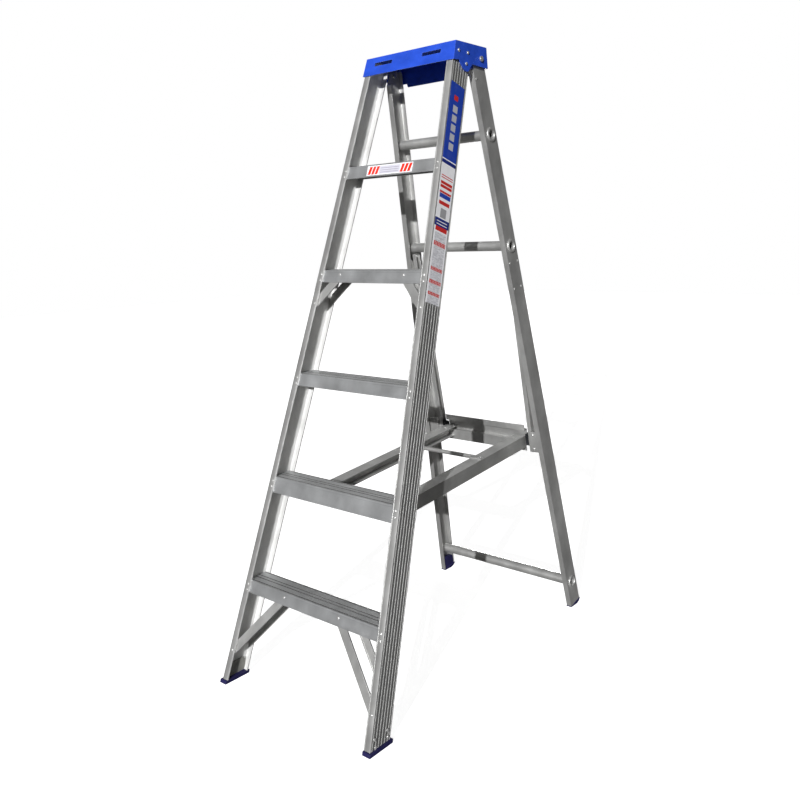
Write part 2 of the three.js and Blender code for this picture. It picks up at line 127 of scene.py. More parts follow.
def solid_mesh(name, points, faces):
    """A closed mesh with its faces turned outwards."""
    mesh = bpy.data.meshes.new(name)
    mesh.from_pydata(points, [], faces)
    work = bmesh.new()
    work.from_mesh(mesh)
    bmesh.ops.recalc_face_normals(work, faces=work.faces)
    work.to_mesh(mesh)
    work.free()
    return mesh


def loft(name, rings):
    """A closed solid drawn through rings that have the same number of points."""
    count = len(rings[0])
    faces = [tuple(range(count)), tuple(range(count * (len(rings) - 1), count * len(rings)))]
    for r in range(len(rings) - 1):
        low, high = r * count, (r + 1) * count
        for i in range(count):
            j = (i + 1) % count
            faces.append((low + i, low + j, high + j, high + i))
    return shade(add_object(name, solid_mesh(name, [p for ring in rings for p in ring], faces)))


def long_faces(rail, outline):
    """The faces along a loft, each with the two outline points that it runs between."""
    for face in rail.data.polygons[2:]:
        first = (face.index - 2) % len(outline)
        yield face, (outline[first], outline[(first + 1) % len(outline)])


def node_of(tree, kind, **values):
    """A node with its properties and unlinked inputs set."""
    node = tree.nodes.new(kind)
    for key, value in values.items():
        if key in node.inputs:
            node.inputs[key].default_value = value
        else:
            setattr(node, key, value)
    return node


def new_material(name):
    material = bpy.data.materials.new(name)
    material.use_nodes = True
    tree = material.node_tree
    return material, tree, tree.nodes["Principled BSDF"]


def object_pattern(tree, size, turn=(0, 0, 0)):
    """Object coordinates turned with the rail and divided by a pattern's own size."""
    coords = tree.nodes.new("ShaderNodeTexCoord")
    mapping = tree.nodes.new("ShaderNodeMapping")
    mapping.vector_type = "TEXTURE"
    mapping.inputs["Rotation"].default_value = turn
    mapping.inputs["Scale"].default_value = size
    tree.links.new(coords.outputs["Object"], mapping.inputs["Vector"])
    return mapping.outputs["Vector"]


def cloud(tree, vector, detail=3.0, rough=0.55):
    node = tree.nodes.new("ShaderNodeTexNoise")
    node.inputs["Scale"].default_value = 1.0
    node.inputs["Detail"].default_value = detail
    node.inputs["Roughness"].default_value = rough
    tree.links.new(vector, node.inputs["Vector"])
    return node.outputs["Fac"]


def remap(tree, value, from_low, from_high, to_low, to_high):
    node = tree.nodes.new("ShaderNodeMapRange")
    for key, number in (("From Min", from_low), ("From Max", from_high)):
        node.inputs[key].default_value = number
    for key, number in (("To Min", to_low), ("To Max", to_high)):
        node.inputs[key].default_value = number
    tree.links.new(value, node.inputs["Value"])
    return node.outputs["Result"]


def worked(tree, operation, a, b=0.0):
    """One sum on sockets or numbers."""
    node = tree.nodes.new("ShaderNodeMath")
    node.operation = operation
    for socket, value in zip(node.inputs, (a, b)):
        if isinstance(value, (int, float)):
            socket.default_value = value
        else:
            tree.links.new(value, socket)
    return node.outputs["Value"]


def mixed(tree, amount, a, b):
    """A colour mix; each of a and b is a socket or a colour."""
    node = tree.nodes.new("ShaderNodeMix")
    node.data_type = "RGBA"
    for socket, value in zip((node.inputs[0], node.inputs[6], node.inputs[7]), (amount, a, b)):
        if isinstance(value, bpy.types.NodeSocket):
            tree.links.new(value, socket)
        else:
            socket.default_value = value
    return node.outputs[2]


def edge_mask(tree, reach):
    """One along the outside edges, where hands, floors and other parts rub."""
    bevel = tree.nodes.new("ShaderNodeBevel")
    bevel.samples = 4
    bevel.inputs["Radius"].default_value = reach
    geometry = tree.nodes.new("ShaderNodeNewGeometry")
    dot = tree.nodes.new("ShaderNodeVectorMath")
    dot.operation = "DOT_PRODUCT"
    tree.links.new(bevel.outputs["Normal"], dot.inputs[0])
    tree.links.new(geometry.outputs["Normal"], dot.inputs[1])
    return remap(tree, dot.outputs["Value"], 0.97, 0.75, 0.0, 1.0)


def bumped(tree, shader, height, strength, distance):
    bump = tree.nodes.new("ShaderNodeBump")
    bump.inputs["Strength"].default_value = strength
    bump.inputs["Distance"].default_value = distance
    tree.links.new(height, bump.inputs["Height"])
    tree.links.new(bump.outputs["Normal"], shader.inputs["Normal"])


def extruded_aluminium(name, grain, turn=(0, 0, 0), tone=(0.66, 0.66, 0.65), rough=0.42, metal=0.72):
    """Mill-finish extrusion: fine die lines along the grain, cloudy oxide, a few scuffs."""
    material, tree, shader = new_material(name)
    lines = cloud(tree, object_pattern(tree, grain, turn), 2.0, 0.6)
    oxide = cloud(tree, object_pattern(tree, (0.07, 0.07, 0.11)), 4.0, 0.6)
    grime = cloud(tree, object_pattern(tree, (0.012, 0.012, 0.03)), 5.0, 0.7)
    scuffs = remap(tree, cloud(tree, object_pattern(tree, [g * 0.8 + 0.0015 for g in grain],
                                                    (turn[0] + 0.5, 0.4, 0.6)), 3.0), 0.66, 0.72, 0, 1)
    dark = tuple(c * 0.80 for c in tone) + (1.0,)
    light = tuple(min(1.0, c * 1.10) for c in tone) + (1.0,)
    base = mixed(tree, remap(tree, oxide, 0.3, 0.7, 0.0, 1.0), dark, light)
    streaked = mixed(tree, remap(tree, lines, 0.3, 0.75, 0.0, 0.35), base, dark)
    spotted = mixed(tree, remap(tree, grime, 0.60, 0.80, 0.0, 0.25), streaked, (0.22, 0.215, 0.20, 1.0))
    worn = edge_mask(tree, 0.0012)
    bright = mixed(tree, worked(tree, "MULTIPLY", worn, 0.5), spotted, (0.80, 0.80, 0.79, 1.0))
    tree.links.new(bright, shader.inputs["Base Color"])
    shader.inputs["Metallic"].default_value = metal
    roughness = worked(tree, "ADD", remap(tree, oxide, 0.3, 0.7, rough - 0.05, rough + 0.07),
                       remap(tree, lines, 0.3, 0.7, -0.03, 0.05))
    scuffed = worked(tree, "ADD", roughness, worked(tree, "MULTIPLY", scuffs, 0.10))
    tree.links.new(worked(tree, "SUBTRACT", scuffed, worked(tree, "MULTIPLY", worn, 0.08)),
                   shader.inputs["Roughness"])
    height = worked(tree, "ADD", lines, worked(tree, "MULTIPLY", scuffs, -0.8))
    bumped(tree, shader, height, 0.25, 0.0003)
    return material


rail_grain = ((0.0011, 0.0011, 0.35), (FRONT_TILT, 0, 0))
stile_metal = extruded_aluminium("stile_aluminium", *rail_grain, (0.64, 0.64, 0.632))
# The flute floors between the ribs get a near-black tone: painted shade in the recesses.
flute_painted_shade_metal = extruded_aluminium("stile_flute_painted_shade", *rail_grain, (0.22, 0.22, 0.215), 0.55, 0.5)
# The channel's inner faces get a lighter copy of the aluminium: painted light.
inside_painted_light_metal = extruded_aluminium("stile_inside_painted_light", *rail_grain, (0.76, 0.76, 0.75), 0.62, 0.25)
# The plain outer web strips get a darker copy of the aluminium: painted shade.
web_painted_shade_metal = extruded_aluminium("stile_web_painted_shade", *rail_grain, (0.38, 0.38, 0.375), 0.50, 0.6)
stile_metals = (stile_metal, flute_painted_shade_metal, inside_painted_light_metal, web_painted_shade_metal)
FLUTE, INSIDE, WEB = 1, 2, 3

STILE_DEPTH = 0.0712
STILE_FLANGE = 0.0218
STILE_SHEET = 0.003
FLUTE_DEPTH = 0.001
RIB_PITCH = 0.0108
stile_corners = [(STILE_FLANGE, 0, 0.0016), (0.0194, 0, 0.0003), (0.0190, 0.0007, 0.0003),
                 (0.0182, 0.0007, 0.0003), (0.0178, 0, 0.0003), (0, 0, 0.0012), (0, 0.0032, 0.0004),
                 (FLUTE_DEPTH, 0.0036, 0.0004)]
for rib in range(6):
    middle = STILE_DEPTH / 2 + (rib - 2.5) * RIB_PITCH
    stile_corners += [(FLUTE_DEPTH, middle - 0.0027, 0.0005), (0, middle - 0.0022, 0.0006),
                      (0, middle + 0.0022, 0.0006), (FLUTE_DEPTH, middle + 0.0027, 0.0005)]
stile_corners += [(FLUTE_DEPTH, STILE_DEPTH - 0.0036, 0.0004), (0, STILE_DEPTH - 0.0032, 0.0004),
                  (0, STILE_DEPTH, 0.0012), (STILE_FLANGE, STILE_DEPTH, 0.0016),
                  (STILE_FLANGE, STILE_DEPTH - 0.0040, 0.0015), (0.0186, STILE_DEPTH - 0.0040, 0.0008),
                  (0.0176, STILE_DEPTH - 0.0028, 0.0008), (STILE_SHEET, STILE_DEPTH - 0.0028, 0.002),
                  (STILE_SHEET, 0.0028, 0.002), (0.0176, 0.0028, 0.0008), (0.0186, 0.0040, 0.0008),
                  (STILE_FLANGE, 0.0040, 0.0015)]
stile_outline = rounded(stile_corners, 2)
for side, name in ((-1, "left"), (1, "right")):
    place = front_place(side)
    heights = [STILE_BOTTOM] + [0.1 * k for k in range(1, 18)] + [STILE_TOP]
    rings = [[place(u, d, along_at(FRONT_TILT, d, z)) for u, d in stile_outline] for z in heights]
    stile = loft(f"front_stile_{name}", rings)
    for metal in stile_metals:
        stile.data.materials.append(metal)
    for face, ends in long_faces(stile, stile_outline):
        insets, depths = [end.x for end in ends], [end.y for end in ends]
        # Painted shade on the flute floors and the plain outer web strips, painted light on the channel's
        # inner faces.
        if max(insets) < 0.0012 and min(depths) > 0.0020 and max(depths) < STILE_DEPTH - 0.0020:
            face.material_index = WEB if max(insets) < 0.0004 else FLUTE
        if min(insets) > 0.0029 and min(depths) > 0.0027 and max(depths) < STILE_DEPTH - 0.0027:
            face.material_index = INSIDE
    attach(stile, "front_frame")
    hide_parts(f"front_stile_{name}")

# ---- Treads -------------------------------------------------------------------------------
# Five level treads, each an extruded channel with a deep lipped skirt at the front and back.
# The top is finely ribbed between four deeper grooves for grip. The ends butt on the stile
# webs and are riveted through the flanges; the second tread is deeper and carries the spreader.
STEP_PITCH = 0.3048
TREAD_NEAR, TREAD_FAR = 0.0031, 0.0681
SKIRT, SPREADER_SKIRT = 0.0345, 0.045
TREAD_SHEET = 0.0026
GRIP_GROOVES = (0.0085, 0.0290, 0.0410, 0.0630)
GRIP_WIDTH, GRIP_DEPTH = 0.0036, 0.0019
FINE_LINES = [0.0061 + 0.0021 * k for k in range(29)]
FINE_WIDTH, FINE_DEPTH = 0.0010, 0.0006
WEB_GAP = 0.0005
tread_metal = extruded_aluminium("tread_aluminium", (0.35, 0.0011, 0.0011), (0, 0, 0),
                                 (0.57, 0.58, 0.59), 0.46)
# The floors of the four deep grip grooves get a near-black tone: painted shade in the recesses.
groove_painted_shade_metal = extruded_aluminium("tread_groove_painted_shade", (0.35, 0.0011, 0.0011), (0, 0, 0),
                                  (0.11, 0.11, 0.11), 0.65, 0.3)

for number in range(1, 6):
    height = number * STEP_PITCH * math.cos(FRONT_TILT)
    skirt = SPREADER_SKIRT if number == 2 else SKIRT
    front_low = along_at(FRONT_TILT, 0, height) - skirt
    back_low = along_at(FRONT_TILT, TREAD_FAR, height) - skirt

    def level(depth, drop=0.0):
        return along_at(FRONT_TILT, depth, height) - drop

    corners = [(TREAD_NEAR, front_low, 0.0008), (TREAD_NEAR, front_low + 0.0055, 0.0003),
               (TREAD_NEAR + 0.0006, front_low + 0.0062, 0.0003),
               (TREAD_NEAR + 0.0006, level(TREAD_NEAR, 0.0062), 0.0004),
               (TREAD_NEAR, level(TREAD_NEAR, 0.0052), 0.0004), (TREAD_NEAR, level(TREAD_NEAR), 0.0014)]
    grooves = [(grip, GRIP_WIDTH, GRIP_DEPTH) for grip in GRIP_GROOVES]
    grooves += [(line, FINE_WIDTH, FINE_DEPTH) for line in FINE_LINES
                if all(abs(line - grip) > 0.0026 for grip in GRIP_GROOVES)]
    for centre, width, drop in sorted(grooves):
        start, end = centre - width / 2, centre + width / 2
        corners += [(start, level(start), 0), (start + 0.0002, level(start, drop), 0),
                    (end - 0.0002, level(end, drop), 0), (end, level(end), 0)]
    corners += [(TREAD_FAR, level(TREAD_FAR), 0.0014), (TREAD_FAR, back_low, 0.0008),
                (TREAD_FAR - 0.0030, back_low, 0.0006), (TREAD_FAR - 0.0030, back_low + 0.0040, 0.0006),
                (TREAD_FAR - 0.0020, back_low + 0.0050, 0.0006),
                (TREAD_FAR - 0.0020, level(TREAD_FAR - 0.0020, TREAD_SHEET), 0.0012),
                (TREAD_NEAR + 0.0024, level(TREAD_NEAR + 0.0024, TREAD_SHEET), 0.0012),
                (TREAD_NEAR + 0.0024, front_low + 0.0050, 0.0006),
                (TREAD_NEAR + 0.0034, front_low + 0.0040, 0.0006), (TREAD_NEAR + 0.0034, front_low, 0.0006)]
    outline = rounded(corners, 2)
    rings = [[front_place(side)(STILE_SHEET + WEB_GAP, d, s) for d, s in outline] for side in (-1, 1)]
    tread = loft(f"tread_{number}", rings)
    tread.data.materials.append(tread_metal)
    tread.data.materials.append(groove_painted_shade_metal)
    for face, ends in long_faces(tread, outline):
        drops = [level(end.x) - end.y for end in ends]
        on_top = all(0.005 < end.x < 0.0660 for end in ends)
        # Deep-groove floors take the painted-shade finish.
        if on_top and min(drops) > -0.0001 and 0.0012 < max(drops) < 0.0021:
            face.material_index = 1
    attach(tread, "front_frame")
    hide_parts(f"tread_{number}")

# ---- Corner braces ------------------------------------------------------------------------
# The lowest and the fourth tread are stiffened by pressed sheet-aluminium strips that run
# from the stile flanges up to the skirts, front and back. Their long edges are turned over
# for stiffness, and one rivet holds each end.
def dressed_copy(node, material, width=0.0005, segments=2):
    """A carried-over shape with merged faces, softened edges and a finish of its own."""
    mesh = frame["nodes"][node].data.copy()
    mesh.name = f"{node}_finished"
    work = bmesh.new()
    work.from_mesh(mesh)
    bmesh.ops.remove_doubles(work, verts=work.verts, dist=0.000005)
    bmesh.ops.dissolve_limit(work, angle_limit=math.radians(1), verts=work.verts, edges=work.edges)
    work.to_mesh(mesh)
    work.free()
    mesh.materials.clear()
    mesh.materials.append(material)
    obj = add_object(mesh.name, mesh)
    shade(obj)
    if width:
        bevel = obj.modifiers.new("soft_edges", "BEVEL")
        bevel.width = width
        bevel.segments = segments
        bevel.limit_method = "ANGLE"
        bevel.angle_limit = math.radians(35)
        bevel.harden_normals = False
    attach(obj, frame["nodes"][node]["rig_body"])
    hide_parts(node)
    return obj


pressed_metal = extruded_aluminium("pressed_aluminium", (0.004, 0.004, 0.05), (0, 0.5, 0),
                                   (0.66, 0.66, 0.65), 0.46)
for number in (1, 4):
    for where in ("front", "rear"):
        for name in ("left", "right"):
            brace = dressed_copy(f"tread_{number}_{where}_brace_{name}", pressed_metal, 0.0006)

# ---- Front feet ---------------------------------------------------------------------------
# Moulded dark blue-violet feet, pushed up into the stile ends. The thick sole stands level
# on the floor and a wall runs up inside the web, held by four rivets.
def moulded_plastic(name, colour, rough, grain=0.0007, scuff=0.12, wear=(0.5, 0.5, 0.5)):
    """Injection-moulded plastic: fine spark-eroded grain, faint flow clouds, whitened edges."""
    material, tree, shader = new_material(name)
    flow = cloud(tree, object_pattern(tree, (0.05, 0.03, 0.03)), 3.0)
    fine = cloud(tree, object_pattern(tree, (grain, grain, grain)), 2.0, 0.7)
    strokes = cloud(tree, object_pattern(tree, (0.03, 0.0016, 0.004), (0.3, 0.2, 0.9)), 3.0)
    marks = remap(tree, strokes, 0.64, 0.72, 0, 1)
    deep = tuple(c * 0.84 for c in colour) + (1.0,)
    lift = tuple(min(1.0, c * 1.12 + 0.002) for c in colour) + (1.0,)
    base = mixed(tree, remap(tree, flow, 0.3, 0.7, 0.0, 1.0), deep, lift)
    speckled = mixed(tree, remap(tree, fine, 0.35, 0.75, 0.0, 0.18), base, deep)
    scuffed = mixed(tree, worked(tree, "MULTIPLY", marks, scuff), speckled, tuple(wear) + (1.0,))
    worn = edge_mask(tree, 0.0015)
    edged = mixed(tree, worked(tree, "MULTIPLY", worn, 0.22), scuffed, tuple(wear) + (1.0,))
    tree.links.new(edged, shader.inputs["Base Color"])
    shader.inputs["Specular IOR Level"].default_value = 0.25
    roughness = worked(tree, "ADD", remap(tree, flow, 0.3, 0.7, rough - 0.05, rough + 0.05),
                       worked(tree, "MULTIPLY", marks, 0.12))
    tree.links.new(roughness, shader.inputs["Roughness"])
    bumped(tree, shader, worked(tree, "SUBTRACT", fine, marks), 0.18, 0.0002)
    return material


foot_plastic = moulded_plastic("foot_plastic", (0.018, 0.016, 0.082), 0.55, 0.0009, 0.25,
                               (0.30, 0.30, 0.38))
# The wall above the sole is grey, darkened further as painted shade inside the stile.
wall_painted_shade_plastic = moulded_plastic("foot_wall_painted_shade", (0.23, 0.23, 0.21), 0.45, 0.0009, 0.35,
                                (0.5, 0.5, 0.48))
SOLE_TOP = 0.0108
for name in ("left", "right"):
    foot = dressed_copy(f"front_foot_{name}", foot_plastic, 0.0010, 3)
    foot.data.materials.append(wall_painted_shade_plastic)
    # Faces above the sole take the dark grey painted-shade finish.
    for face in foot.data.polygons:
        if face.center.z > SOLE_TOP:
            face.material_index = 1

# ---- Top cap ------------------------------------------------------------------------------
# A bright blue moulded cap closes the top of the ladder. It is a shell with a level top, two
# tool slots in its face, an ear down each side and a flap behind, held by rivets and the
# rear frame's hinge bolts.
cap_plastic = moulded_plastic("cap_plastic", (0.022, 0.085, 0.62), 0.38, 0.0008, 0.10, (0.45, 0.55, 0.85))
cap = dressed_copy("top_cap", cap_plastic, 0.0022, 4)
cap.modifiers["soft_edges"].limit_method = "WEIGHT"
cap_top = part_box("top_cap")[1].z
CAP_OUT = 0.005
CAP_FRONT_Y = rear_hinge.y - 0.085
weights = cap.data.attributes.new("bevel_weight_edge", "FLOAT", "EDGE")
work = bmesh.new()
work.from_mesh(cap.data)
for edge, weight in zip(work.edges, weights.data):
    sharp = len(edge.link_faces) == 2 and edge.calc_face_angle(0) > math.radians(35)
    places = [v.co for v in edge.verts]
    round_top = all(cap_top - place.z < 0.001 for place in places)
    beside = [FRONT_HALF_WIDTH + CAP_OUT - FRONT_TAPER * place.z for place in places]
    front_corner = all(abs(abs(place.x) - outside) < 0.0004 and place.y < CAP_FRONT_Y
                       for place, outside in zip(places, beside))
    weight.value = (1.0 if round_top or front_corner else 0.3) if sharp else 0.0
work.free()

# ---- Front rivets and bolts ---------------------------------------------------------------
# Plated rivets with low domed heads close every joint of the front frame. The hinge bolts and
# the spreader's pivot bolts are plated steel, with a wide head outside and a nut inside.
def plated_steel(name, tone, rough):
    """Turned or headed steel with a thin bright plating, dulled in patches."""
    material, tree, shader = new_material(name)
    patch = cloud(tree, object_pattern(tree, (0.006, 0.006, 0.006)), 4.0)
    fine = cloud(tree, object_pattern(tree, (0.0006, 0.0006, 0.0006)), 2.0)
    dull = tuple(c * 0.7 for c in tone) + (1.0,)
    base = mixed(tree, remap(tree, patch, 0.35, 0.7, 0.0, 1.0), tuple(tone) + (1.0,), dull)
    tree.links.new(base, shader.inputs["Base Color"])
    shader.inputs["Metallic"].default_value = 0.6
    tree.links.new(remap(tree, patch, 0.3, 0.7, rough - 0.06, rough + 0.12), shader.inputs["Roughness"])
    bumped(tree, shader, fine, 0.12, 0.0001)
    return material


rivet_steel = plated_steel("rivet_steel", (0.74, 0.74, 0.73), 0.30)


def rivet_tree():
    """Sets one domed head on every point, its flat side against the sheet."""
    tree = bpy.data.node_groups.new("domed_rivets", "GeometryNodeTree")
    face = tree.interface
    face.new_socket("Geometry", in_out="INPUT", socket_type="NodeSocketGeometry")
    face.new_socket("Head Radius", in_out="INPUT", socket_type="NodeSocketFloat")
    face.new_socket("Head Height", in_out="INPUT", socket_type="NodeSocketFloat")
    face.new_socket("Finish", in_out="INPUT", socket_type="NodeSocketMaterial")
    face.new_socket("Geometry", in_out="OUTPUT", socket_type="NodeSocketGeometry")
    given, out = tree.nodes.new("NodeGroupInput"), tree.nodes.new("NodeGroupOutput")
    dome = node_of(tree, "GeometryNodeMeshUVSphere", Segments=16, Rings=8, Radius=1.0)
    size = tree.nodes.new("ShaderNodeCombineXYZ")
    tree.links.new(given.outputs["Head Radius"], size.inputs["X"])
    tree.links.new(given.outputs["Head Radius"], size.inputs["Y"])
    tree.links.new(given.outputs["Head Height"], size.inputs["Z"])
    shaped = tree.nodes.new("GeometryNodeTransform")
    tree.links.new(dome.outputs["Mesh"], shaped.inputs["Geometry"])
    tree.links.new(size.outputs["Vector"], shaped.inputs["Scale"])
    smooth = node_of(tree, "GeometryNodeSetShadeSmooth")
    tree.links.new(shaped.outputs["Geometry"], smooth.inputs["Geometry"])
    outward = node_of(tree, "GeometryNodeInputNamedAttribute", data_type="FLOAT_VECTOR", Name="outward")
    turn = tree.nodes.new("FunctionNodeAlignRotationToVector")
    turn.axis = "Z"
    tree.links.new(outward.outputs["Attribute"], turn.inputs["Vector"])
    heads = tree.nodes.new("GeometryNodeInstanceOnPoints")
    tree.links.new(given.outputs["Geometry"], heads.inputs["Points"])
    tree.links.new(smooth.outputs["Geometry"], heads.inputs["Instance"])
    tree.links.new(turn.outputs["Rotation"], heads.inputs["Rotation"])
    real = tree.nodes.new("GeometryNodeRealizeInstances")
    tree.links.new(heads.outputs["Instances"], real.inputs["Geometry"])
    finish = tree.nodes.new("GeometryNodeSetMaterial")
    tree.links.new(real.outputs["Geometry"], finish.inputs["Geometry"])
    tree.links.new(given.outputs["Finish"], finish.inputs["Material"])
    tree.links.new(finish.outputs["Geometry"], out.inputs["Geometry"])
    return tree


domed_rivets = rivet_tree()


def set_rivets(name, body, seats, radius, height, replaced=()):
    """One plain mesh of rivet heads; each seat is (place, outward direction)."""
    points = bpy.data.meshes.new(f"{name}_seats")
    points.from_pydata([place for place, _ in seats], [], [])
    outward = points.attributes.new("outward", "FLOAT_VECTOR", "POINT")
    outward.data.foreach_set("vector", [c for _, way in seats for c in Vector(way).normalized()])
    seat_object = add_object(f"{name}_seats", points)
    modifier = seat_object.modifiers.new("rivets", "NODES")
    modifier.node_group = domed_rivets
    sockets = {i.name: i.identifier for i in domed_rivets.interface.items_tree if i.in_out == "INPUT"}
    modifier[sockets["Head Radius"]] = radius
    modifier[sockets["Head Height"]] = height
    modifier[sockets["Finish"]] = rivet_steel
    evaluated = seat_object.evaluated_get(bpy.context.evaluated_depsgraph_get())
    mesh = bpy.data.meshes.new_from_object(evaluated)
    mesh.name = name
    rivets = add_object(name, mesh)
    bpy.data.objects.remove(seat_object)
    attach(rivets, body)
    if replaced:
        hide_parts(*replaced)


def middle_of(node):
    low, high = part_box(node)
    return (low + high) / 2


front_out = Vector((0, -math.cos(FRONT_TILT), -math.sin(FRONT_TILT)))
rear_out = -front_out
LEVEL_RISE = 0.0227
flange_rivets = [(number * STEP_PITCH - drop, 0.012) for number in range(1, 6) for drop in (0.0115, 0.0285)]
brace_rivets = [(0.098, 0.0105), (1.122, 0.0115)]
foot_rivets = [(0.041, 0.013), (0.021, 0.020), (0.058, 0.058), (0.041, 0.062)]
tread_seats = []
for side in (-1, 1):
    place = front_place(side)
    for along, inset in flange_rivets + brace_rivets:
        tread_seats.append((place(inset, 0, along), front_out))
        tread_seats.append((place(inset, STILE_DEPTH, along + LEVEL_RISE), rear_out))
    for along, depth in foot_rivets:
        tread_seats.append((place(0.0004, depth, along), (side, 0, 0)))
set_rivets("front_frame_rivets", "front_frame", tread_seats, 0.0050, 0.0022)

skirt_nodes = [f"tread_{t}_brace_rivet_{name}" for t in (1, 4) for name in ("left", "right")]
skirt_seats = [(Vector((middle_of(n).x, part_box(n)[1].y - 0.0006, middle_of(n).z)), front_out)
               for n in skirt_nodes]
set_rivets("brace_rivets", "front_frame", skirt_seats, 0.0044, 0.0021, skirt_nodes)

cap_nodes = [f"cap_rivet_{i}_{name}" for i in (1, 2, 3) for name in ("left", "right")]
cap_seats = []
for n in cap_nodes:
    low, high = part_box(n)
    way = 1 if middle_of(n).x > 0 else -1
    seat_x = low.x if way > 0 else high.x
    cap_seats.append((Vector((seat_x, middle_of(n).y, middle_of(n).z)), (way, 0, 0)))
set_rivets("cap_rivets", "front_frame", cap_seats, 0.0048, 0.0024, cap_nodes)

bolt_steel = plated_steel("bolt_steel", (0.66, 0.66, 0.65), 0.28)
for bolt in ("hinge_bolt", "spreader_pivot_bolt"):
    for name in ("left", "right"):
        dressed_copy(f"{bolt}_{name}", bolt_steel, 0.0006)

# ---- Labels -------------------------------------------------------------------------------
# Two printed films under clear laminate: a tall one down the right stile's web and a narrow
# one on the top tread's skirt. Both carry plain colour blocks and bars, with no lettering.
def film(name, node, bands, background, decorate=None):
    """A label whose colour bands are ruled across its length, v, from one end to the other."""
    material, tree, shader = new_material(name)
    coords = tree.nodes.new("ShaderNodeUVMap")
    coords.uv_map = "label_uv"
    split = tree.nodes.new("ShaderNodeSeparateXYZ")
    tree.links.new(coords.outputs["UV"], split.inputs["Vector"])
    across, along = split.outputs["X"], split.outputs["Y"]
    colour = background

    def block(under, paint, u, v, slant=0.0):
        """A rectangle, or a slanted bar, laid over what is under it."""
        x = worked(tree, "SUBTRACT", across, worked(tree, "MULTIPLY", along, slant)) if slant else across
        inside = worked(tree, "MULTIPLY",
                        worked(tree, "MULTIPLY", worked(tree, "GREATER_THAN", x, u[0]),
                               worked(tree, "LESS_THAN", x, u[1])),
                        worked(tree, "MULTIPLY", worked(tree, "GREATER_THAN", along, v[0]),
                               worked(tree, "LESS_THAN", along, v[1])))
        return mixed(tree, inside, under, paint)

    for paint, u, v, *slant in bands:
        colour = block(colour, paint, u, v, *slant)
    if decorate:
        colour = decorate(tree, coords.outputs["UV"], across, along, colour)
    soil = cloud(tree, object_pattern(tree, (0.02, 0.02, 0.03)), 5.0, 0.65)
    aged = mixed(tree, remap(tree, soil, 0.5, 0.8, 0.0, 0.16), colour, (0.30, 0.30, 0.30, 1.0))
    tree.links.new(aged, shader.inputs["Base Color"])
    shader.inputs["Specular IOR Level"].default_value = 0.25
    tree.links.new(remap(tree, soil, 0.3, 0.7, 0.30, 0.48), shader.inputs["Roughness"])
    ripple = cloud(tree, object_pattern(tree, (0.004, 0.012, 0.012)), 2.0)
    bumped(tree, shader, ripple, 0.10, 0.0003)
    label = dressed_copy(node, material, 0)
    return label


def lay_out(label, to_uv):
    """Gives every corner of a label its own place across and along the printed face."""
    layer = label.data.uv_layers.new(name="label_uv")
    for loop in label.data.loops:
        layer.data[loop.index].uv = to_uv(label.data.vertices[loop.vertex_index].co)


WHITE = (0.93, 0.93, 0.96, 1)
BLUE = (0.015, 0.055, 0.42, 1)
DEEP_BLUE = (0.012, 0.025, 0.20, 1)
RED = (0.62, 0.03, 0.025, 1)
BRIGHT_RED = (0.90, 0.035, 0.015, 1)
SILVER = (0.50, 0.50, 0.55, 1)
GREY = (0.36, 0.36, 0.38, 1)
SIDE_LOW, SIDE_HIGH = 1.138, 1.738


def up_label(s):
    return (s - SIDE_LOW) / (SIDE_HIGH - SIDE_LOW)


side_bands = [(BLUE, (0.0, 1.0), (up_label(1.527), 1.0)),
              (DEEP_BLUE, (0.0, 1.0), (up_label(1.514), up_label(1.524))),
              (RED, (0.08, 0.92), (up_label(1.4480), up_label(1.4660))),
              (WHITE, (0.0, 1.0), (up_label(1.4560), up_label(1.4580))),
              (BLUE, (0.10, 0.90), (up_label(1.4210), up_label(1.4330))),
              (RED, (0.12, 0.88), (up_label(1.4030), up_label(1.4130))),
              (GREY, (0.30, 0.72), (up_label(1.3690), up_label(1.3940))),
              (DEEP_BLUE, (0.0, 1.0), (up_label(1.3440), up_label(1.3660))),
              (WHITE, (0.12, 0.88), (up_label(1.3490), up_label(1.3510))),
              (WHITE, (0.12, 0.88), (up_label(1.3570), up_label(1.3590)))]
for low, high in ((1.474, 1.4765), (1.480, 1.4825), (1.434, 1.4400), (1.332, 1.344), (1.292, 1.304),
                  (1.226, 1.235), (1.191, 1.201), (1.160, 1.169)):
    side_bands.append((RED, (0.08, 0.92), (up_label(low), up_label(high))))
for step in range(5):
    low = up_label(1.555 + 0.026 * step)
    side_bands.append((SILVER, (0.32, 0.66), (low, low + 0.032)))
side_bands.append((RED, (0.32, 0.62), (up_label(1.692), up_label(1.706))))


